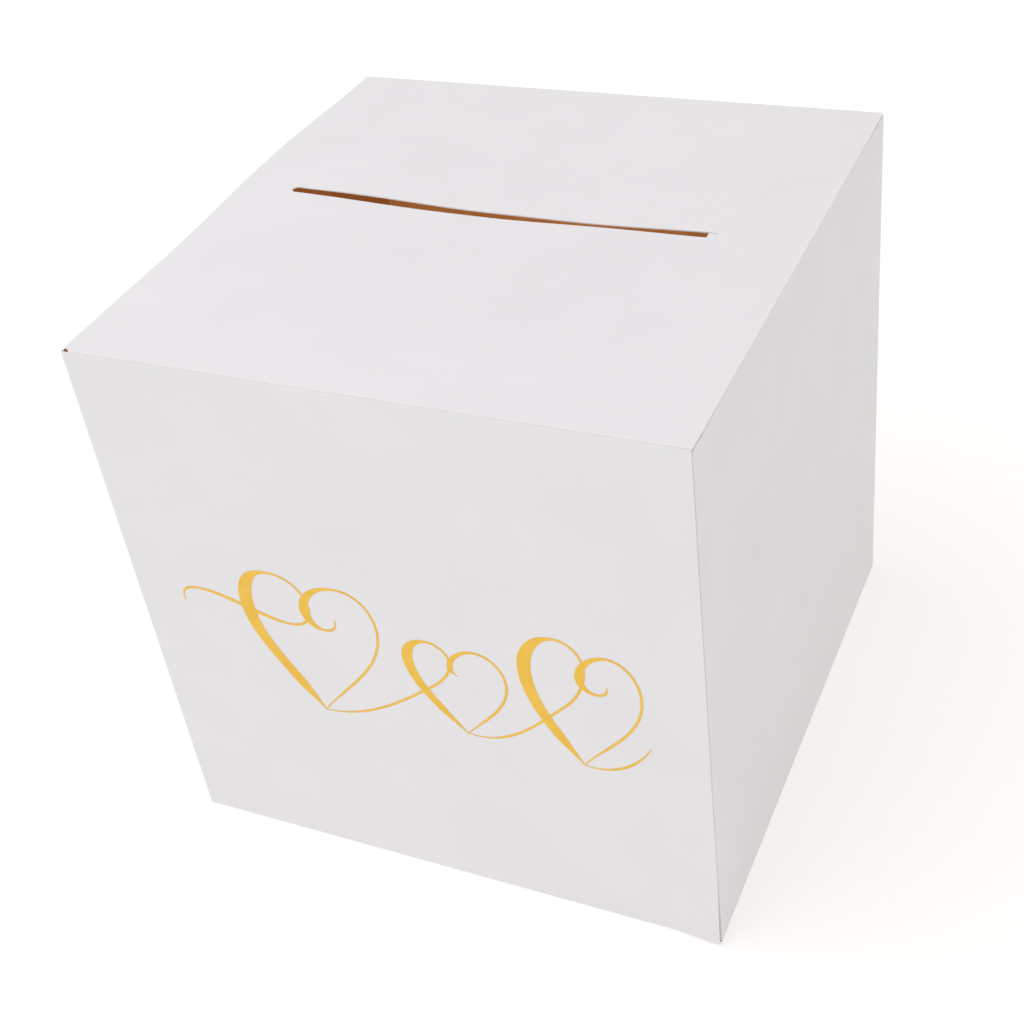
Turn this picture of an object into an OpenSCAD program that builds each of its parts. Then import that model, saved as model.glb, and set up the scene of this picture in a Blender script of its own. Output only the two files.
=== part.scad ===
// Wedding card box: a cube of thin coated board, folded up from one flat blank.
// The lid is hinged along the back and tucks in behind the front wall. The base is hinged along the front
// and tucks in behind the back wall. Two side flaps lie under the lid, and two over the base.
// Each flap is cut short of its crease, and the crease is a round strip on the axis that the flap turns on.
// Origin at the middle of the underside, +Z up, front wall at -Y. Millimetres.

/* [Box] */
// Outside width, left to right
box_w = 254; // [240:1:400]
// Outside depth, front to back
box_d = 254; // [240:1:400]
// Outside height
box_h = 254; // [150:1:400]
// Thickness of the board
board = 0.5; // [0.4:0.05:0.6]
// Gap between two layers of board that move past each other
layer_gap = 0.3; // [0.2:0.05:0.4]

/* [Creases] */
// Radius of the upright corners
corner_r = 1.2; // [1.1:0.1:2]
// Radius of the edge where a tuck flap turns in
tuck_r = 0.9; // [0.8:0.1:1.2]
// Gap between that edge and the tuck flap that turns round it
turn_gap = 0.05; // [0.03:0.01:0.1]
// Width of the scored strip at a crease, twice the distance from its axis to the flap's end
score_w = 1; // [0.9:0.1:1.2]

/* [Card slot] */
// Length of the slot
slot_l = 188; // [60:1:200]
// Width of the slot
slot_w = 5; // [4.5:0.5:12]
// Distance of the slot's middle to the left of the lid's middle
slot_left = 7.5; // [0:0.5:15]
// Distance of the slot's middle behind the lid's middle
slot_back = 10; // [0:1:20]

/* [Flaps] */
// Depth of a tuck flap
tuck_depth = 20; // [12:1:24]
// Lean of a tuck flap into the box, in degrees
tuck_lean = 15; // [14:1:20]
// Distance from the box's side to the end of a tuck flap's crease
tuck_inset = 4; // [4:0.5:10]
// Width of the dust flaps under the lid
dust_w = 24; // [15:1:28]
// Width of the side flaps over the base
base_flap_w = 40; // [20:1:42]
// Width of the glue flap at the seam
seam_w = 20; // [12:1:30]
// Thickness of the glue line
glue_t = 0.1; // [0.05:0.05:0.15]

/* [Foil] */
// Width of the foil flourish
foil_w = 206; // [120:1:220]
// Height of its middle above the underside
foil_z = 124; // [90:1:160]
// Thickness of the foil
foil_t = 0.08; // [0.05:0.01:0.15]
// Width of the thin upstrokes
thin_stroke = 0.9; // [0.6:0.1:1.5]
// How hard the pen is pressed on its downstrokes
press = 1; // [0.5:0.1:1.3]

/* [Hidden] */
$fn = 64;

white = "WhiteSmoke";
kraft = "Peru";
gold = "Goldenrod";

half_w = box_w / 2;
half_d = box_d / 2;
half_board = board / 2;
// how far a cutting shape runs past what it cuts
over = 5;

// the axes of the upright corners
corner_x = half_w - corner_r;
corner_y = half_d - corner_r;

// the lid's crease runs in the middle of the board, and the side flaps lie one layer under the lid
layer = board + layer_gap;
lid_y = half_d - half_board;
lid_z = box_h - half_board;
side_x = half_w - half_board;
side_z = box_h - layer - half_board;
tuck_y = -(half_d - layer - tuck_r);
tuck_z = box_h - tuck_r;

// the front wall's cut edge, just short of the glued corner's outside
seam_edge = corner_x + corner_r / 4;
// the lid and base stop just inside the box's sides
lid_half = half_w - 0.25;
tuck_half = half_w - tuck_inset;
// clearance past the end of a crease
end_gap = 0.3;

// a side flap starts this far from the upright corners, at its free end and at the lid's hinge
free_end = 9;
hinge_end = 10;
// slope of its two ends
free_slope = 0.1;
hinge_slope = 1.45;
// slope of a tuck flap's ends
tuck_slope = 1.1;
flap_round = 3;

// the glue flap's ends
seam_end = 6;
seam_slope = 0.4;
glue_inset = 14;

// foil strokes: each is the width of its pressed stretches, then a chain of cubic curves,
// from the middle of the flourish, drawn for a width of 206
foil_design_w = 206;
foil_steps = 14;
foil_lap = 0.01;
foil_strokes = [
    // entry swash, over the large heart's left lobe and down to its tip
    [6.2, [
        [-103, 10],
        [-105, 18], [-96, 20], [-84, 17],
        [-68, 13], [-52, 4], [-44, 12],
        [-38, 18], [-42, 35], [-57, 35],
        [-73, 35], [-74, 14], [-68, 0],
        [-62, -14], [-52, -26], [-45, -38]
    ]],
    // the large heart's right side, curling into its middle
    [4.2, [
        [-45, -38],
        [-35, -24], [-13, -8], [-11, 12],
        [-10, 26], [-18, 34], [-28, 33],
        [-40, 32], [-47, 21], [-42, 13],
        [-38, 7], [-29, 9], [-30, 16]
    ]],
    // the small heart's left and right sides
    [4.6, [
        [-45, -38],
        [-26, -38], [-8, -24], [8, -11],
        [16, -5], [24, 5], [18, 12],
        [12, 19], [0, 14], [1, 3],
        [2, -10], [14, -22], [23, -32]
    ]],
    [2.4, [
        [23, -32],
        [31, -22], [45, -12], [44, 2],
        [43, 12], [34, 18], [26, 13],
        [19, 9], [18, 1], [23, 0]
    ]],
    // the middle-sized heart's left and right sides
    [5.6, [
        [23, -32],
        [42, -34], [54, -18], [68, -4],
        [78, 6], [82, 22], [74, 29],
        [66, 36], [52, 28], [53, 10],
        [54, -8], [66, -22], [74, -34]
    ]],
    [3.2, [
        [74, -34],
        [82, -22], [101, -10], [101, 9],
        [101, 22], [92, 30], [84, 26],
        [76, 22], [73, 12], [79, 8],
        [83, 5.5], [88, 8], [87, 12]
    ]],
    // the leaving tail
    [1, [
        [74, -34],
        [86, -36], [97, -28], [103, -16]
    ]]
];

// points of an arc that rounds corner p between its neighbours a and b
function fillet(a, p, b, r, n = 6) =
    let (u = (a - p) / norm(a - p))
    let (v = (b - p) / norm(b - p))
    let (half = acos(u * v) / 2)
    let (centre = p + (u + v) / norm(u + v) * r / sin(half))
    let (first = p + u * r / tan(half) - centre)
    let (last = p + v * r / tan(half) - centre)
    [for (i = [0 : n]) let (d = first * (1 - i / n) + last * i / n) centre + d / norm(d) * r];

// an outline with each corner rounded by its own radius; a radius of 0 leaves it sharp
function rounded(points, radii) =
    let (n = len(points))
    [for (i = [0 : n - 1])
        each (radii[i] == 0
            ? [points[i]]
            : fillet(points[(i + n - 1) % n], points[i], points[(i + 1) % n], radii[i]))];

module upright(x, y, r, low = -over, high = box_h + over)
    translate([x, y, low]) cylinder(r = r, h = high - low);

module along_x(y, z, r, half)
    translate([-half, y, z]) rotate([0, 90, 0]) cylinder(r = r, h = 2 * half);

module along_y(x, z, r, from, to)
    translate([x, from, z]) rotate([-90, 0, 0]) cylinder(r = r, h = to - from);

// a flat sheet in the XZ plane, from y back to y + board, with its outline given as x and z
module facing_sheet(y, thickness, outline)
    translate([0, y + thickness, 0]) rotate([90, 0, 0]) linear_extrude(thickness) polygon(outline);

// the base is the lid's set of pieces turned over about the box's middle, so it is hinged along the front
module as_base()
    translate([0, 0, box_h]) rotate([180, 0, 0]) children();

module flip_side()
    mirror([1, 0, 0]) children();

module corner_crease(x, y)
    upright(x, y, corner_r, layer, box_h - layer);

// front or back wall seen as the back one: creased to the lid at its top, with a cut edge at its bottom
module lid_side_wall(left, right)
    difference() {
        facing_sheet(half_d - board, board,
            [[left, layer_gap], [right, layer_gap], [right, lid_z], [left, lid_z]]);
        along_x(lid_y, lid_z, half_board, half_w + over);
    }

// the left wall, with room for the creases of its lid flap and base flap
module side_wall()
    difference() {
        translate([-half_w, -corner_y, layer]) cube([board, 2 * corner_y, box_h - 2 * layer]);
        side_crease_room();
        as_base() side_crease_room();
    }

module side_crease_room() {
    from = side_from() - end_gap;
    to = side_to() + end_gap;
    translate([-half_w - over, from, side_z]) cube([2 * over, to - from, over]);
    along_y(-side_x, side_z, half_board, from, to);
}

function side_from() = -corner_y + free_end;
function side_to() = corner_y - hinge_end;

module side_flap(width)
    difference() {
        translate([-side_x, 0, side_z - half_board])
            linear_extrude(board)
                polygon(rounded([
                    [0, side_from()],
                    [width, side_from() + free_slope * width],
                    [width, side_to() - hinge_slope * width],
                    [0, side_to()]
                ], [0, flap_round, flap_round, 0]));
        along_y(-side_x, side_z, score_w / 2, -half_d, half_d);
    }

module side_crease()
    along_y(-side_x, side_z, half_board, side_from(), side_to());

// the lid or base panel without its slot: the small lugs in front reach past the ends
// of the tuck flap's crease
module end_panel()
    difference() {
        translate([-lid_half, -(half_d - layer), box_h - board])
            cube([2 * lid_half, half_d - layer + lid_y, board]);
        along_x(lid_y, lid_z, score_w / 2, half_w + over);
        translate([-tuck_half - end_gap, tuck_y - over, box_h - over])
            cube([2 * (tuck_half + end_gap), over, 2 * over]);
        along_x(tuck_y, tuck_z, tuck_r, tuck_half + end_gap);
    }

module card_slot()
    translate([-slot_left, slot_back, box_h - over])
        linear_extrude(2 * over) {
            square([slot_l - slot_w, slot_w], center = true);
            for (side = [-1, 1])
                translate([side * (slot_l - slot_w) / 2, 0]) circle(d = slot_w);
        }

module tuck_flap() {
    tip_half = tuck_half - tuck_slope * tuck_depth;
    translate([0, tuck_y, tuck_z])
        rotate([tuck_lean, 0, 0])
            difference() {
                facing_sheet(-tuck_r, board, rounded([
                    [-tuck_half, 0],
                    [tuck_half, 0],
                    [tip_half, -tuck_depth],
                    [-tip_half, -tuck_depth]
                ], [0, 0, 2 * flap_round, 2 * flap_round]));
                along_x(0, 0, tuck_r + turn_gap, half_w);
            }
}

module tuck_crease()
    along_x(tuck_y, tuck_z, tuck_r, tuck_half);

// one curve of a stroke, drawn with a pen that is pressed on the way down and lifted at the stroke's ends
function curve_at(p, t) =
    pow(1 - t, 3) * p[0] + 3 * t * pow(1 - t, 2) * p[1] + 3 * t * t * (1 - t) * p[2] + pow(t, 3) * p[3];
function slope_at(p, t) =
    3 * pow(1 - t, 2) * (p[1] - p[0]) + 6 * t * (1 - t) * (p[2] - p[1]) + 3 * t * t * (p[3] - p[2]);
function pen_width(pressed, way, from_end) =
    let (w = thin_stroke + (pressed - thin_stroke) * pow(max(0, -way[1] / norm(way)), 1.6))
    max(0.3, w * min(1, from_end / 0.35));
// points of one edge: side is 1 or -1, and before and after are the numbers of curves on either side,
// which this one overlaps a little
function stroke_edge(p, pressed, side, before, after) =
    let (from = before > 0 ? -foil_lap : 0)
    let (to = after > 0 ? 1 + foil_lap : 1)
    [for (i = [0 : foil_steps])
        let (t = from + (to - from) * i / foil_steps)
        let (way = slope_at(p, t))
        let (w = pen_width(pressed, way, min(before + t, after + 1 - t)))
        curve_at(p, t) + side * w / 2 * [-way[1], way[0]] / norm(way)];
function reversed(points) = [for (i = [len(points) - 1 : -1 : 0]) points[i]];

module foil_stroke(pressed, path) {
    curves = floor(len(path) / 3);
    for (k = [0 : curves - 1]) {
        p = [for (i = [0 : 3]) path[3 * k + i]];
        polygon(concat(
            stroke_edge(p, pressed, 1, k, curves - 1 - k),
            reversed(stroke_edge(p, pressed, -1, k, curves - 1 - k))
        ));
    }
}

module front_wall()
    color(white)
        difference() {
            as_base() lid_side_wall(-corner_x, seam_edge);
            upright(-corner_x, -corner_y, corner_r);
        }

module back_wall()
    color(white)
        difference() {
            lid_side_wall(-corner_x, corner_x);
            upright(-corner_x, corner_y, corner_r);
            upright(corner_x, corner_y, corner_r);
        }

module left_wall()
    color(white)
        difference() {
            side_wall();
            upright(-corner_x, -corner_y, corner_r);
            upright(-corner_x, corner_y, corner_r);
        }

module right_wall()
    color(white)
        difference() {
            flip_side() side_wall();
            upright(corner_x, -corner_y, corner_r);
            upright(corner_x, corner_y, corner_r);
        }

module front_left_crease() color(white) corner_crease(-corner_x, -corner_y);
module back_left_crease() color(white) corner_crease(-corner_x, corner_y);
module back_right_crease() color(white) corner_crease(corner_x, corner_y);

// the glued corner: its front is flat, behind the front wall and the glue line
module seam_crease()
    color(white)
        difference() {
            corner_crease(corner_x, -corner_y);
            translate([corner_x - over, -half_d - over, -over])
                cube([2 * over, over + board + glue_t, box_h + 2 * over]);
        }

module seam_flap() {
    far = corner_x - corner_r - seam_w;
    taper = seam_slope * seam_w;
    color(kraft)
        difference() {
            facing_sheet(-half_d + board + glue_t, board, [
                [corner_x, seam_end],
                [corner_x, box_h - seam_end],
                [far, box_h - seam_end - taper],
                [far, seam_end + taper]
            ]);
            upright(corner_x, -corner_y, corner_r);
        }
}

module seam_glue()
    color("Ivory")
        translate([corner_x - corner_r - seam_w + 2, -half_d + board, glue_inset])
            cube([seam_w - 4, glue_t, box_h - 2 * glue_inset]);

module foil_flourish()
    color(gold)
        translate([0, -half_d, foil_z])
            rotate([90, 0, 0])
                linear_extrude(foil_t)
                    scale(foil_w / foil_design_w)
                        for (stroke = foil_strokes) foil_stroke(stroke[0] * press, stroke[1]);

module lid_panel()
    color(white)
        difference() {
            end_panel();
            card_slot();
        }

module lid_tuck_flap() color(white) tuck_flap();
module lid_crease() color(white) along_x(lid_y, lid_z, half_board, lid_half);
module lid_tuck_crease() color(white) tuck_crease();
module left_dust_flap() color(white) side_flap(dust_w);
module right_dust_flap() color(white) flip_side() side_flap(dust_w);
module left_dust_crease() color(white) side_crease();
module right_dust_crease() color(white) flip_side() side_crease();

module base_panel() color(white) as_base() end_panel();
module base_tuck_flap() color(white) as_base() tuck_flap();
module base_crease() color(white) as_base() along_x(lid_y, lid_z, half_board, lid_half);
module base_tuck_crease() color(white) as_base() tuck_crease();
module left_base_flap() color(white) as_base() side_flap(base_flap_w);
module right_base_flap() color(white) as_base() flip_side() side_flap(base_flap_w);
module left_base_crease() color(white) as_base() side_crease();
module right_base_crease() color(white) as_base() flip_side() side_crease();

front_wall();
left_wall();
back_wall();
right_wall();
seam_flap();
seam_glue();
foil_flourish();
front_left_crease();
back_left_crease();
back_right_crease();
seam_crease();
lid_panel();
lid_tuck_flap();
lid_crease();
lid_tuck_crease();
left_dust_flap();
right_dust_flap();
left_dust_crease();
right_dust_crease();
base_panel();
base_tuck_flap();
base_crease();
base_tuck_crease();
left_base_flap();
right_base_flap();
left_base_crease();
right_base_crease();
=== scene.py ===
"""Looks of the wedding card box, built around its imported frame. Metres, in the frame of the CAD."""
import math

import bmesh
import bpy
from mathutils import Matrix, Vector


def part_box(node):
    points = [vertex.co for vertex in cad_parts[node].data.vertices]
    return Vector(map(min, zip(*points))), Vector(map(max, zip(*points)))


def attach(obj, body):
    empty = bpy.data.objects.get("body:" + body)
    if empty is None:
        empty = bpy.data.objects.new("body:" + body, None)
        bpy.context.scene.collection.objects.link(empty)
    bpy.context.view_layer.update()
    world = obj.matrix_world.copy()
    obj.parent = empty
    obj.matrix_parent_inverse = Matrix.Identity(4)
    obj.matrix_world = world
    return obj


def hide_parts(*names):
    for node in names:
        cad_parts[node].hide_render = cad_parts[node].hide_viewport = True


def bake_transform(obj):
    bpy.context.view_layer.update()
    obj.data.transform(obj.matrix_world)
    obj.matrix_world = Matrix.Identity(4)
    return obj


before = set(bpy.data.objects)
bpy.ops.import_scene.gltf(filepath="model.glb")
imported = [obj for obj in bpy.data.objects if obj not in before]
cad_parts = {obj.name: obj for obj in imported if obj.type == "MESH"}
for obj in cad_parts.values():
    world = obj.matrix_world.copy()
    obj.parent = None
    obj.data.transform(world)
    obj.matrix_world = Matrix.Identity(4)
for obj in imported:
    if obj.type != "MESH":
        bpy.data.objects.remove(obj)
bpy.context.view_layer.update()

MM = 0.001
BOARD = 0.5 * MM
THICKER = 2.2  # how many times thicker the front left corner's board is drawn, where the lid's hole shows it
FRONT_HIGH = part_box("front_wall")[1]
BACK_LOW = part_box("back_wall")[0]
LID_LOW, LID_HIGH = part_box("lid_panel")
CORNER_LOW, CORNER_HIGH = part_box("front_left_crease")
ROLL_LOW, ROLL_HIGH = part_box("lid_tuck_crease")
SIDE_FOLD_LOW, SIDE_FOLD_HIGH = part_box("right_dust_crease")

HALF = -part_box("left_wall")[0].x
HEIGHT = LID_HIGH.z
CORNER_R = (CORNER_HIGH.x - CORNER_LOW.x) / 2
CORNER = HALF - CORNER_R
Z_AXIS = Vector((0, 0, 1))

# the rounded folds along a wall's end: the lid's and base's own, and those of the side flaps under them
FOLD_R = HALF - LID_HIGH.y - 0.03 * MM
SIDE_FOLD_R = 0.8 * MM
SIDE_FOLD_Z = LID_LOW.z - 0.08 * MM - SIDE_FOLD_R
SKIN = 0.1 * MM

# the lid's rounded front edge, which turns down behind the front wall
ROLL_R = 1.0 * MM
ROLL_END = ROLL_LOW.y - 0.25 * MM  # its front, against the front wall
ROLL_START = ROLL_END + ROLL_R  # where the lid's flat part ends


# ---------------------------------------------------------------- camera

def aim_camera():
    """The view: azimuth from -Y towards +X, elevation, roll, and distance from a point in the box."""
    azimuth, elevation, roll = math.radians(28.96), math.radians(37.54), math.radians(-8.39)
    target, distance = Vector((0.003, -0.0274, 0.127)), 0.7209
    back = Vector((math.sin(azimuth) * math.cos(elevation), -math.cos(azimuth) * math.cos(elevation),
                   math.sin(elevation)))
    side = (-back).cross(Z_AXIS).normalized()
    up = side.cross(-back)
    across = math.cos(roll) * side + math.sin(roll) * up
    upright = -math.sin(roll) * side + math.cos(roll) * up
    data = bpy.data.cameras.new("camera")
    data.sensor_width = 36
    data.lens = 57.54
    data.clip_start = 0.05
    camera = bpy.data.objects.new("camera", data)
    bpy.context.scene.collection.objects.link(camera)
    turn = Matrix((across, upright, back)).transposed().to_4x4()
    camera.matrix_world = Matrix.Translation(target + distance * back) @ turn
    bpy.context.scene.camera = camera


# ---------------------------------------------------------------- materials

def linear(red, green, blue):
    """A colour given as 0-255 screen values, in Blender's linear values."""
    shares = [value / 255 for value in (red, green, blue)]
    return tuple(c / 12.92 if c <= 0.04 else ((c + 0.055) / 1.055) ** 2.4 for c in shares) + (1,)


class Finish:
    """A node material with a Principled shader, and the few nodes that the finishes share."""

    def __init__(self, name):
        self.material = bpy.data.materials.new(name)
        self.material.use_nodes = True
        self.tree = self.material.node_tree
        self.shader = self.tree.nodes["Principled BSDF"]
        self.where = self.add("ShaderNodeTexCoord").outputs["Object"]

    def add(self, kind, **values):
        node = self.tree.nodes.new(kind)
        for key, value in values.items():
            setattr(node, key, value)
        return node

    def link(self, source, target):
        self.tree.links.new(source, target)

    def stretched(self, scale):
        node = self.add("ShaderNodeMapping")
        node.inputs["Scale"].default_value = scale
        self.link(self.where, node.inputs["Vector"])
        return node.outputs["Vector"]

    def noise(self, scale, detail=4, rough=0.55, vector=None, distortion=0):
        node = self.add("ShaderNodeTexNoise")
        node.inputs["Scale"].default_value = scale
        node.inputs["Detail"].default_value = detail
        node.inputs["Roughness"].default_value = rough
        node.inputs["Distortion"].default_value = distortion
        self.link(vector or self.where, node.inputs["Vector"])
        return node.outputs["Fac"]

    def spread(self, value, low, high, out_low=0.0, out_high=1.0):
        node = self.add("ShaderNodeMapRange")
        limits = {"From Min": low, "From Max": high, "To Min": out_low, "To Max": out_high}
        for name, number in limits.items():
            node.inputs[name].default_value = number
        self.link(value, node.inputs["Value"])
        return node.outputs["Result"]

    def mix(self, share, first, second):
        node = self.add("ShaderNodeMix", data_type="RGBA")
        self.link(share, node.inputs["Factor"])
        for socket, value in ((node.inputs[6], first), (node.inputs[7], second)):
            if isinstance(value, tuple):
                socket.default_value = value
            else:
                self.link(value, socket)
        return node.outputs[2]

    def bump(self, height, distance, strength=1.0, under=None):
        node = self.add("ShaderNodeBump")
        node.inputs["Distance"].default_value = distance
        node.inputs["Strength"].default_value = strength
        self.link(height, node.inputs["Height"])
        if under is not None:
            self.link(under, node.inputs["Normal"])
        return node.outputs["Normal"]

    def done(self, colour, roughness, normal, **constants):
        self.link(colour, self.shader.inputs["Base Color"])
        self.link(roughness, self.shader.inputs["Roughness"])
        self.link(normal, self.shader.inputs["Normal"])
        for name, value in constants.items():
            self.shader.inputs[name.replace("_", " ")].default_value = value
        return self.material


def coated_board(name, light, dark):
    """White clay-coated board: faint clouding, a fine tooth, and a slow ripple that shows in its sheen."""
    f = Finish(name)
    clouds = f.spread(f.noise(22, 5), 0.35, 0.68)
    colour = f.mix(clouds, light, dark)
    specks = f.spread(f.noise(1400, 2), 0.70, 0.78, 0, 0.5)
    colour = f.mix(specks, colour, linear(205, 200, 196))
    roughness = f.spread(f.noise(60, 4), 0.3, 0.7, 0.46, 0.6)
    ripple = f.bump(f.noise(14, 2, 0.4), 0.0016, 0.35)
    tooth = f.bump(f.noise(1500, 3, 0.6), 0.00003, 0.5, ripple)
    return f.done(colour, roughness, tooth, IOR=1.45, Specular_IOR_Level=0.4)


def kraft_board(name):
    """Uncoated brown inside: fibres that lie mostly one way, clouding, and darker flecks."""
    f = Finish(name)
    fibres = f.noise(1, 5, 0.65, f.stretched((140, 900, 900)), 0.6)
    clouds = f.noise(40, 4)
    colour = f.mix(f.spread(clouds, 0.3, 0.7), linear(198, 142, 84), linear(184, 126, 70))
    colour = f.mix(f.spread(fibres, 0.35, 0.72, 0, 0.7), colour, linear(162, 106, 56))
    flecks = f.noise(1, 3, 0.5, f.stretched((300, 1500, 1500)))
    colour = f.mix(f.spread(flecks, 0.66, 0.74), colour, linear(118, 72, 36))
    roughness = f.spread(fibres, 0.3, 0.7, 0.82, 0.95)
    bump = f.bump(fibres, 0.00012, 0.6)
    return f.done(colour, roughness, bump, IOR=1.4, Specular_IOR_Level=0.25)


def cut_board(name):
    """The board's cut edge: pale pulp under the coating, with torn fibres."""
    f = Finish(name)
    pulp = f.noise(1, 4, 0.6, f.stretched((700, 700, 2500)))
    colour = f.mix(f.spread(pulp, 0.3, 0.75), linear(232, 231, 231), linear(224, 222, 221))
    roughness = f.spread(pulp, 0.3, 0.7, 0.8, 0.95)
    return f.done(colour, roughness, f.bump(pulp, 0.00008, 0.7), IOR=1.4, Specular_IOR_Level=0.25)


def gold_foil(name):
    """Hot-stamped gold foil: the board's tooth shows through, with a satin and slightly uneven shine."""
    f = Finish(name)
    clouds = f.noise(90, 4)
    colour = f.mix(f.spread(clouds, 0.3, 0.7), linear(234, 193, 86), linear(226, 182, 72))
    specks = f.spread(f.noise(1800, 2), 0.68, 0.76, 0, 0.6)
    colour = f.mix(specks, colour, linear(250, 222, 140))
    roughness = f.spread(f.noise(300, 4), 0.3, 0.7, 0.30, 0.44)
    ripple = f.bump(f.noise(30, 3), 0.0006, 0.3)
    tooth = f.bump(f.noise(1500, 3, 0.6), 0.00002, 0.45, ripple)
    return f.done(colour, roughness, tooth, Metallic=1.0)


def dried_glue(name):
    """A bead of hot-melt glue: milky yellow, glossy, a little uneven."""
    f = Finish(name)
    lumps = f.noise(120, 4)
    colour = f.mix(f.spread(lumps, 0.3, 0.7), linear(232, 220, 180), linear(214, 196, 146))
    roughness = f.spread(lumps, 0.3, 0.7, 0.22, 0.4)
    return f.done(colour, roughness, f.bump(lumps, 0.0003, 0.5), IOR=1.5, Transmission_Weight=0.25)


WHITE = coated_board("coated_board", linear(230, 229, 231), linear(227, 226, 228))
# the same coated board drawn a shade lighter for the rounded folds and corners: a painted highlight where they
# catch the light
FOLD_BOARD_PAINTED_LIGHTER = coated_board("fold_board_painted_highlight", linear(232, 231, 233), linear(229, 228, 230))
KRAFT = kraft_board("kraft_board")
CUT = cut_board("cut_board")
GOLD = gold_foil("gold_foil")
GLUE = dried_glue("dried_glue")
OUTER, INNER, EDGE = 0, 1, 2


# ---------------------------------------------------------------- sheets of board

def smooth(value, start, end):
    """0 before start, 1 after end, and a smooth rise between them."""
    t = min(1.0, max(0.0, (value - start) / (end - start)))
    return t * t * (3 - 2 * t)


def make_object(name, mesh, body, *materials):
    piece = bpy.data.objects.new(name, mesh)
    bpy.context.scene.collection.objects.link(piece)
    for material in materials:
        mesh.materials.append(material)
    if body:
        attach(piece, body)
    return piece


def board_piece(name, body, surface, replaced=(), thickness=BOARD, coat=None, folded=None):
    """A sheet of board from its coated side. surface is a list of (points, faces) patches, whose faces wind
    so that they face the coated side; patches that share an edge are welded. Where folded(point) is true the
    sheet ends at a fold, and has no pale cut edge. Without a body it is attached to none."""
    bm = bmesh.new()
    for points, faces in surface:
        verts = [bm.verts.new(p) for p in points]
        for face in faces:
            bm.faces.new([verts[i] for i in face])
    bmesh.ops.remove_doubles(bm, verts=bm.verts, dist=1e-6)
    bmesh.ops.dissolve_degenerate(bm, edges=bm.edges, dist=1e-7)
    bm.normal_update()
    outer = list(bm.faces)
    rim = [e for e in bm.edges if len(e.link_faces) == 1]
    twin = {v: bm.verts.new(v.co - thickness * v.normal) for v in list(bm.verts)}
    sides = []
    for edge in rim:
        loop = edge.link_loops[0]
        sides.append((loop.vert, loop.link_loop_next.vert))
    for face in outer:
        face.material_index = OUTER
        face.smooth = True
        back = bm.faces.new([twin[v] for v in reversed(face.verts)])
        back.material_index = INNER
        back.smooth = True
    for a, b in sides:
        wall = bm.faces.new([b, a, twin[a], twin[b]])
        at_fold = folded is not None and folded((a.co + b.co) / 2)
        wall.material_index = INNER if at_fold else EDGE
        wall.smooth = False
    for edge in bm.edges:
        kinds = {f.material_index for f in edge.link_faces}
        if len(kinds) > 1:
            edge.smooth = False
    mesh = bpy.data.meshes.new(name)
    bm.to_mesh(mesh)
    bm.free()
    piece = make_object(name, mesh, body, coat or WHITE, KRAFT, CUT)
    if replaced:
        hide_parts(*replaced)
    return piece


def grid(us, vs, place):
    """A patch over the values us and vs, with place(u, v) its points. It faces du x dv."""
    points = [place(u, v) for v in vs for u in us]
    n = len(us)
    faces = [(j * n + i, j * n + i + 1, (j + 1) * n + i + 1, (j + 1) * n + i)
             for j in range(len(vs) - 1) for i in range(n - 1)]
    return points, faces


def steps(start, end, count):
    return [start + (end - start) * i / count for i in range(count + 1)]


# ---------------------------------------------------------------- how the walls and lid have warped

def arch(value, half):
    """1 in the middle and 0 at both ends, in a smooth curve."""
    return math.cos(0.5 * math.pi * max(-1.0, min(1.0, value / half)))


# the front wall's glued end has lifted off near the bottom: how far out, how far in from the corner, how far up
LIFT, LIFT_WIDTH, LIFT_TOP = 1.3 * MM, 24 * MM, 44 * MM
FINE_WIDTH, FINE_TOP = 26 * MM, 46 * MM  # the part of the front wall whose grid is fine enough to show it


def front_bulge(x, z):
    """How far the front wall stands out: a slight hollow, and its glued end lifts off near the bottom."""
    hollow = -0.5 * MM * arch(x, CORNER) * math.sin(math.pi * z / HEIGHT)
    lift = LIFT * smooth(x, CORNER - LIFT_WIDTH, CORNER + 1 * MM) * smooth(z, LIFT_TOP, 0.5 * MM)
    return hollow + lift


def side_bulge(y, z):
    """The side walls bow in along their top edge, and swell a little lower down."""
    top = -0.9 * MM * arch(y, CORNER) * smooth(z, 0.45 * HEIGHT, HEIGHT)
    swell = 0.5 * MM * arch(y, CORNER) * math.sin(math.pi * z / HEIGHT)
    return top + swell


def back_bulge(x, z):
    return 0.7 * MM * arch(x, CORNER) * math.sin(math.pi * z / HEIGHT)


# the card slot: a round left end, a square right end, and a slit where the waste tore off past it
SLOT_LEFT, SLOT_RIGHT = -101.7 * MM, 86.6 * MM
SLOT_NEAR, SLOT_FAR = 7.9 * MM, 12.2 * MM
SLOT_MIDDLE = (SLOT_NEAR + SLOT_FAR) / 2
SLOT_R = (SLOT_FAR - SLOT_NEAR) / 2
SLIT_END = 91.4 * MM
SLIT_DROP = 3.2 * MM
SLIT_W = 0.6 * MM


def slot_edges(x):
    """The slot's near and far edge at x; they meet outside the slot."""
    if x <= SLOT_LEFT:
        return SLOT_MIDDLE, SLOT_MIDDLE
    if x <= SLOT_RIGHT:
        half = SLOT_R * math.sqrt(1 - max(0.0, 1 - (x - SLOT_LEFT) / SLOT_R) ** 2)
        return SLOT_MIDDLE - half, SLOT_MIDDLE + half
    along = min(1.0, (x - SLOT_RIGHT) / (SLIT_END - SLOT_RIGHT))
    far = SLOT_FAR - SLIT_DROP * (1 - math.sqrt(1 - 0.96 * along * along))
    return far - SLIT_W * (1 - along ** 4), far


def bell(value, centre, before, after=None):
    """1 at the centre, falling smoothly to 0 at the given distances before and after it."""
    t = min(1.0, abs(value - centre) / (before if value < centre or after is None else after))
    return (1 - t * t) ** 2


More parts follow.
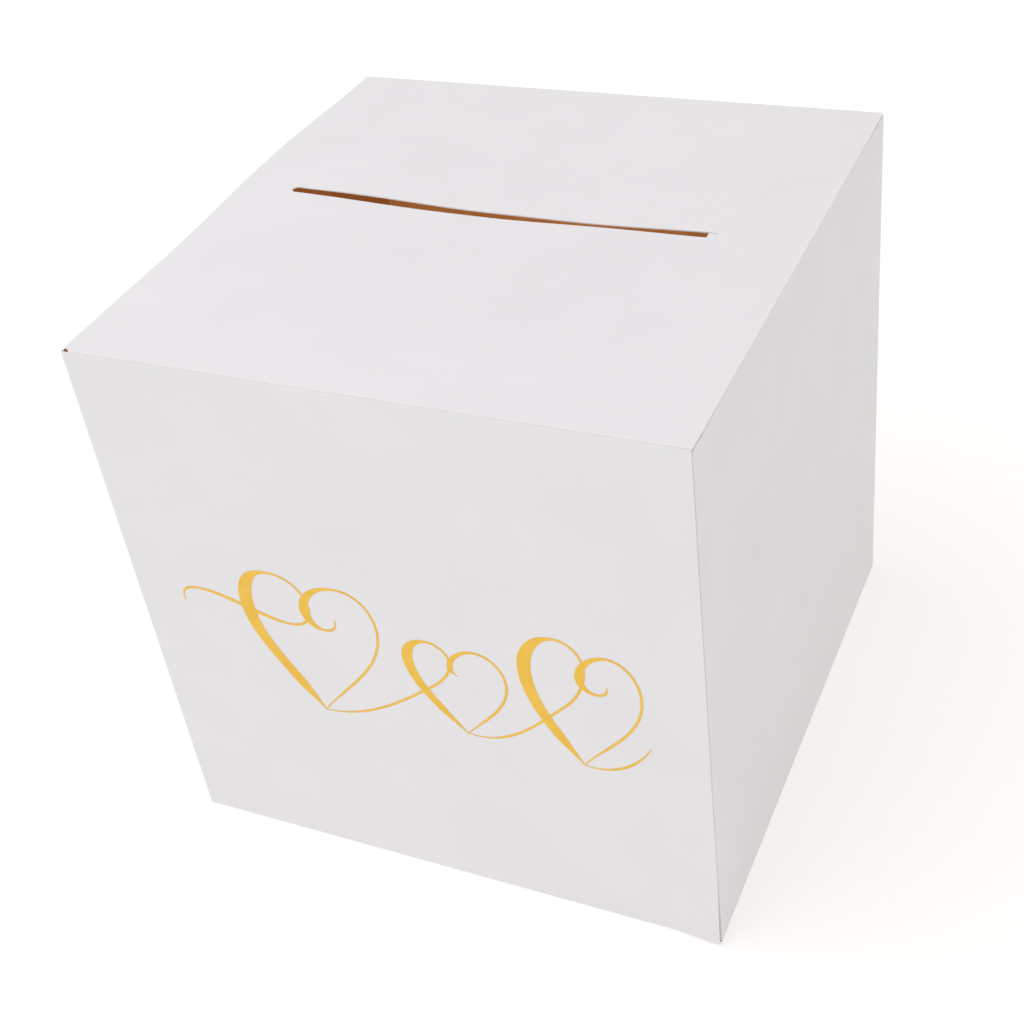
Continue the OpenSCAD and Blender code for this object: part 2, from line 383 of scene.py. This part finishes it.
def lid_rise(x, y):
    """How far the lid lies above flat. It sags along the slot, whose lips part; its left edge arches up."""
    sag = -1.9 * MM * bell(x, -5 * MM, 80 * MM, 125 * MM) * bell(y, SLOT_MIDDLE, 134 * MM, 116 * MM)
    parted = 0.35 * MM * bell(x, -57 * MM, 44 * MM) - 0.5 * MM * bell(x, 42 * MM, 44 * MM)
    lips = parted * (1 if y > SLOT_MIDDLE else -1) * bell(y, SLOT_MIDDLE, 50 * MM)
    arched = 2.3 * MM * bell(y, 35 * MM, 85 * MM) * math.exp((LID_LOW.x - x) / (42 * MM))
    return sag + lips + arched


# ---------------------------------------------------------------- walls

def turned(point):
    """A point of the lid's end of the box, turned over to the base's end."""
    return point[0], -point[1], HEIGHT - point[2]


def build_walls():
    top_of_front = FRONT_HIGH.z + 0.1 * MM
    end_of_front = FRONT_HIGH.x + 0.5 * MM
    xs = steps(-CORNER, CORNER - FINE_WIDTH, 40) + steps(CORNER - FINE_WIDTH, end_of_front, 20)[1:]
    zs = steps(FOLD_R, FINE_TOP, 20) + steps(FINE_TOP, top_of_front, 36)[1:]
    board_piece("front_board", "walls", [grid(xs, zs, lambda x, z: (x, -HALF - front_bulge(x, z), z))],
                ["front_wall"], folded=lambda p: p.z < MM)
    xs = steps(-CORNER, CORNER, 40)
    zs = steps(BACK_LOW.z, HEIGHT - FOLD_R, 40)
    board_piece("back_board", "walls", [grid(xs[::-1], zs, lambda x, z: (x, HALF + back_bulge(x, z), z))],
                ["back_wall"], folded=lambda p: p.z > HEIGHT - MM)
    slack = 0.3 * MM
    ends = [SIDE_FOLD_LOW.y - slack, SIDE_FOLD_HIGH.y + slack]
    ys = steps(-CORNER, ends[0] - slack, 4) + steps(*ends, 56) + steps(ends[1] + slack, CORNER, 4)

    def side_top(y):
        return SIDE_FOLD_Z if ends[0] <= y <= ends[1] else LID_LOW.z - 0.1 * MM

    def place(side, y, t):
        low = HEIGHT - side_top(-y)
        z = low + (side_top(y) - low) * t
        return side * (HALF + side_bulge(y, z)), y, z

    def folded(point):
        return ends[0] < point.y < ends[1] or abs(point.y) > CORNER - MM

    for name, side in (("right", 1), ("left", -1)):
        patch = grid(ys[::side], steps(0, 1, 50), lambda y, t: place(side, y, t))
        board_piece(f"{name}_board", "walls", [patch], [f"{name}_wall"], folded=folded)


def fold_skin(name, patch, node, start, end):
    """The outside of a fold between the walls and a body that turns on it. start and end are not used."""
    spans = [sorted(point[axis] for point in patch[0]) for axis in range(3)]
    along = max(range(3), key=lambda axis: spans[axis][-1] - spans[axis][0])
    first, last = spans[along][0] + 0.01 * MM, spans[along][-1] - 0.01 * MM
    # the fold is drawn in the lighter board, a painted highlight on its rounded outside
    piece = board_piece(name, None, [patch], [node], SKIN, FOLD_BOARD_PAINTED_LIGHTER,
                        folded=lambda p: first < p[along] < last)
    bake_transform(piece)
    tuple(start)
    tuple(end)


def build_folds():
    quarter = [math.radians(a) for a in steps(0, 90, 6)]
    xs = steps(LID_LOW.x + 0.8 * MM, LID_HIGH.x - 0.8 * MM, 50)

    def hinge_fold(x, a):
        return x, HALF - FOLD_R * (1 - math.cos(a)), HEIGHT - FOLD_R * (1 - math.sin(a))

    start, end = hinge_fold(0, 0), hinge_fold(0, quarter[-1])
    fold_skin("lid_fold", grid(xs[::-1], quarter, hinge_fold), "lid_crease", start, end)
    patch = grid(xs[::-1], quarter, lambda x, a: turned(hinge_fold(x, a)))
    fold_skin("base_fold", patch, "base_crease", turned(start), turned(end))

    ys = steps(SIDE_FOLD_LOW.y, SIDE_FOLD_HIGH.y, 56)

    def side_fold(side, y, a, bow=1):
        x = HALF + bow * side_bulge(y, SIDE_FOLD_Z) - SIDE_FOLD_R * (1 - math.cos(a))
        return side * x, y, SIDE_FOLD_Z + SIDE_FOLD_R * math.sin(a)

    start, end = Vector((0, 0, SIDE_FOLD_Z)), Vector((0, 0, SIDE_FOLD_Z + SIDE_FOLD_R))
    for name, side in (("left", -1), ("right", 1)):
        patch = grid(ys[::side], quarter, lambda y, a: side_fold(side, y, a))
        fold_skin(f"{name}_dust_fold", patch, f"{name}_dust_crease", start, end)
        patch = grid(ys[::side], quarter, lambda y, a: turned(side_fold(side, y, a, bow=0)))
        fold_skin(f"{name}_base_fold", patch, f"{name}_base_crease",
                  turned(start), turned(end))


def build_corners():
    """The upright corners: the board turns through a quarter circle, and the glued one turns in behind the
    front wall."""
    zs = steps(CORNER_LOW.z, CORNER_HIGH.z, 30)
    for name, x, y, start in (("front_left", -CORNER, -CORNER, 180), ("back_left", -CORNER, CORNER, 90),
                              ("back_right", CORNER, CORNER, 0)):
        angles = [math.radians(a) for a in steps(start, start + 90, 8)]
        thickness = BOARD * (THICKER if name == "front_left" else 1)
        patch = grid(angles, zs, lambda a, z: (x + CORNER_R * math.cos(a), y + CORNER_R * math.sin(a), z))
        # corners are drawn in the lighter board, a painted highlight on their rounding
        board_piece(f"{name}_corner", "walls", [patch], [f"{name}_crease"], thickness, FOLD_BOARD_PAINTED_LIGHTER)
    behind = BOARD + 0.1 * MM
    flap_y = -HALF + behind
    low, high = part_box("seam_flap")
    angles = [math.radians(a) for a in steps(-90, 0, 8)]
    r_in = CORNER_R - behind
    patch = grid(angles, zs, lambda a, z: (CORNER + CORNER_R * math.cos(a), -CORNER + r_in * math.sin(a), z))
    # the seam's corner is drawn in the lighter board too, a painted highlight on its rounding
    board_piece("seam_corner", "walls", [patch], ["seam_crease"], coat=FOLD_BOARD_PAINTED_LIGHTER)
    taper = 8 * MM
    outline = [(low.x, flap_y, low.z + taper), (CORNER, flap_y, low.z), (CORNER, flap_y, high.z),
               (low.x, flap_y, high.z - taper)]
    board_piece("seam_tab", "walls", [(outline, [(0, 1, 2, 3)])], ["seam_flap"])


# ---------------------------------------------------------------- lid

# the lid's front left corner is rounded off, which leaves a small hole at the box's corner
CLIPPED_FROM = LID_LOW.x + 3.0 * MM
CLIPPED_DEPTH = 4.2 * MM
BLUNT = 1.4 * MM


def lid_front(x):
    """The front end of the lid's flat part at x."""
    t = min(1.0, max(0.0, (CLIPPED_FROM - x) / (CLIPPED_FROM - LID_LOW.x)))
    return ROLL_START + CLIPPED_DEPTH * (1 - math.sqrt(1 - t * t))


def lid_rear(x):
    """The rear end of the lid at x: its corners are a little blunt."""
    t = max(0.0, (abs(x) - LID_HIGH.x + BLUNT) / BLUNT)
    return LID_HIGH.y - BLUNT * (1 - math.sqrt(max(0.0, 1 - t * t)))


def arc_steps(start, end, count):
    """Values from start to end that crowd together at the start, for an arc that is steep there."""
    return [start + (end - start) * (1 - math.cos(0.5 * math.pi * i / count)) for i in range(count + 1)]


def build_lid():
    hair = 0.02 * MM
    xs = arc_steps(LID_LOW.x, CLIPPED_FROM, 8) + steps(CLIPPED_FROM, SLOT_LEFT, 10)[1:]
    xs += arc_steps(SLOT_LEFT, SLOT_LEFT + SLOT_R, 8)[1:] + steps(SLOT_LEFT + SLOT_R, SLOT_RIGHT, 64)[1:]
    xs += steps(SLOT_RIGHT + hair, SLIT_END, 10) + steps(SLIT_END, LID_HIGH.x - BLUNT, 14)[1:]
    xs += arc_steps(LID_HIGH.x, LID_HIGH.x - BLUNT, 5)[-2::-1]

    def front_part(x, t):
        edge = slot_edges(x)[0]
        y = lid_front(x) + (edge - lid_front(x)) * t
        return x, y, HEIGHT + lid_rise(x, y)

    def rear_part(x, t):
        edge = slot_edges(x)[1]
        y = edge + (lid_rear(x) - edge) * t
        return x, y, HEIGHT + lid_rise(x, y)

    nearing = [1 - (1 - t) ** 1.6 for t in steps(0, 1, 26)]
    board_piece("lid_board", "lid", [grid(xs, nearing, front_part), grid(xs, steps(0, 1, 24), rear_part)],
                ["lid_panel"], folded=lambda p: p.y < ROLL_START + 0.1 * MM or p.y > LID_HIGH.y - 0.1 * MM)


def build_lid_roll():
    """The lid's rounded front edge, where it turns down behind the front wall. It is trimmed round at its
    left end, and past its right end a lug only leans down. The base's is the same, but for its ends."""
    trim, lug = 2 * MM, math.radians(55)
    xs = arc_steps(CLIPPED_FROM, CLIPPED_FROM + trim, 8) + steps(CLIPPED_FROM + trim, ROLL_HIGH.x, 60)[1:]
    xs += steps(ROLL_HIGH.x + 0.05 * MM, LID_HIGH.x, 4)

    def place(x, part):
        full = lug if x > ROLL_HIGH.x else math.radians(90)
        t = max(0.0, 1 - (x - CLIPPED_FROM) / trim)
        a = part * full * math.sqrt(1 - 0.9 * t * t)
        height = HEIGHT + lid_rise(x, ROLL_START) * math.cos(a) - ROLL_R * (1 - math.cos(a))
        return x, ROLL_START - ROLL_R * math.sin(a), height

    low_end = HEIGHT - ROLL_R
    piece = board_piece("lid_edge", None, [grid(xs[::-1], steps(0, 1, 8), place)], ["lid_tuck_crease"],
                        folded=lambda p: p.z > HEIGHT - 0.1 * MM or p.z < low_end + 0.1 * MM)
    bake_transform(piece)

    def base_place(x, a):
        return turned((x, ROLL_START - ROLL_R * math.sin(a), HEIGHT - ROLL_R * (1 - math.cos(a))))

    xs = steps(ROLL_LOW.x, ROLL_HIGH.x, 60)
    quarter = [math.radians(a) for a in steps(0, 90, 8)]
    piece = board_piece("base_edge", None, [grid(xs[::-1], quarter, base_place)], ["base_tuck_crease"],
                        folded=lambda p: True)
    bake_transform(piece)


def skin(name, node, body, outward, folded):
    """A flat flap: its CAD shape, with the coating on its outward side, kraft inside and cut edges. Where
    folded(point) is true it ends at a fold."""
    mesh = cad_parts[node].data.copy()
    mesh.name = name
    mesh.materials.clear()
    piece = make_object(name, mesh, body, WHITE, KRAFT, CUT)
    direction = Vector(outward).normalized()
    for face in mesh.polygons:
        lean = face.normal.dot(direction)
        inside = lean < -0.7 or (lean < 0.7 and folded(face.center))
        face.material_index = OUTER if lean > 0.7 else INNER if inside else EDGE
        face.use_smooth = False
    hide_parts(node)


def paint(node, material):
    """A CAD node that keeps its shape and gets a better material."""
    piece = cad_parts[node]
    piece.data.materials.clear()
    piece.data.materials.append(material)


def build_dust_flap(name, side):
    """A side flap under the lid. Its hinged edge follows the bow of the wall's top, and it springs up to the
    lid."""
    low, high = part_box(f"{name}_dust_flap")
    width, rounding = high.x - low.x, 3 * MM
    hinged = max(-low.x, high.x)
    free_slope, hinge_slope = 0.1, 1.45

    def place(u, v):
        t = max(0.0, (u - width + rounding) / rounding)
        corner = rounding * (1 - math.sqrt(max(0.0, 1 - t * t)))
        start = low.y + free_slope * u + corner
        end = high.y - hinge_slope * u - corner
        y = start + (end - start) * v
        x = side * (hinged + side_bulge(y, SIDE_FOLD_Z) * (1 - u / width) - u)
        return x, y, high.z + lid_rise(x, y) * min(1.0, 1.6 * u / width)

    us = steps(0, width - rounding, 10) + arc_steps(width, width - rounding, 5)[-2::-1]
    board_piece(f"{name}_dust_board", f"{name}_dust", [grid(us[::-side], steps(0, 1, 50), place)],
                [f"{name}_dust_flap"], folded=lambda p: abs(p.x) > hinged - 1.5 * MM)


def build_flaps():
    lean = math.radians(15)
    skin("lid_tuck_board", "lid_tuck_flap", "lid_tuck", (0, -math.cos(lean), -math.sin(lean)),
         lambda p: p.z > HEIGHT - 1.8 * MM)
    skin("base_board", "base_panel", "base", (0, 0, -1), lambda p: abs(p.y) > HALF - 1.8 * MM)
    skin("base_tuck_board", "base_tuck_flap", "base_tuck", (0, math.cos(lean), math.sin(lean)),
         lambda p: p.z < 1.8 * MM)
    for name in ("left_base", "right_base"):
        skin(f"{name}_board", f"{name}_flap", name, (0, 0, -1), lambda p: abs(p.x) > HALF - 1.5 * MM)
    build_dust_flap("left", -1)
    build_dust_flap("right", 1)
    paint("seam_glue", GLUE)


# ---------------------------------------------------------------- foil

SPREAD = 0.12 * MM


def build_foil():
    """The stamped flourish follows the front wall's hollow, and has spread a little under the stamp."""
    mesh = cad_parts["foil_flourish"].data.copy()
    mesh.name = "foil_scroll"
    mesh.materials.clear()
    bm = bmesh.new()
    bm.from_mesh(mesh)
    bmesh.ops.remove_doubles(bm, verts=bm.verts, dist=1e-6)
    bm.normal_update()
    for vert in bm.verts:
        outward = Vector((vert.normal.x, 0, vert.normal.z)).normalized()
        vert.co += outward * SPREAD
        vert.co.y -= front_bulge(vert.co.x, vert.co.z) + 0.01 * MM
    bm.to_mesh(mesh)
    bm.free()
    piece = make_object("foil_scroll", mesh, "walls", GOLD)
    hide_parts("foil_flourish")


# ---------------------------------------------------------------- surroundings

def build_floor():
    mesh = bpy.data.meshes.new("floor")
    half, level = 60.0, -0.4 * MM
    corners = [(-half, -half, level), (half, -half, level), (half, half, level), (-half, half, level)]
    mesh.from_pydata(corners, [], [(0, 1, 2, 3)])
    floor = bpy.data.objects.new("floor", mesh)
    bpy.context.scene.collection.objects.link(floor)
    f = Finish("floor")
    clouds = f.noise(3, 3)
    colour = f.mix(f.spread(clouds, 0.3, 0.7), (0.50, 0.50, 0.50, 1), (0.49, 0.49, 0.49, 1))
    f.done(colour, f.spread(clouds, 0.3, 0.7, 0.85, 0.95), f.bump(clouds, 0.001, 0.1),
           Emission_Color=(1, 0.985, 0.965, 1), Emission_Strength=0.56)
    mesh.materials.append(f.material)


def area_light(name, place, aim, size, power, colour):
    data = bpy.data.lights.new(name, "AREA")
    data.shape = "RECTANGLE"
    data.size, data.size_y = size
    data.energy = power
    data.color = colour
    light = bpy.data.objects.new(name, data)
    light.location = place
    light.rotation_euler = (Vector(aim) - Vector(place)).to_track_quat("-Z", "Y").to_euler()
    light.visible_camera = False
    bpy.context.scene.collection.objects.link(light)


def light_studio():
    scene = bpy.context.scene
    scene.view_settings.view_transform = "Standard"
    world = bpy.data.worlds.new("studio")
    world.use_nodes = True
    tree = world.node_tree
    where = tree.nodes.new("ShaderNodeTexCoord")
    height = tree.nodes.new("ShaderNodeSeparateXYZ")
    sky = tree.nodes.new("ShaderNodeValToRGB")
    sky.color_ramp.elements[0].color = (0.93, 0.92, 0.905, 1)
    sky.color_ramp.elements[1].color = (0.675, 0.655, 0.635, 1)
    sky.color_ramp.elements[1].position = 0.3
    tree.links.new(where.outputs["Generated"], height.inputs[0])
    tree.links.new(height.outputs["Z"], sky.inputs["Fac"])
    tree.links.new(sky.outputs["Color"], tree.nodes["Background"].inputs["Color"])
    scene.world = world
    area_light("key", (-0.9, -0.66, 2.44), (0, 0, 0.1), (2.4, 2.4), 35, (0.92, 0.915, 1.0))
    area_light("inside", (-0.03, -0.02, 0.06), (-0.03, 0.1, 0.25), (0.14, 0.14), 0.3, (0.96, 0.95, 0.86))


aim_camera()
build_walls()
build_folds()
build_corners()
build_lid()
build_lid_roll()
build_flaps()
build_foil()
build_floor()
light_studio()
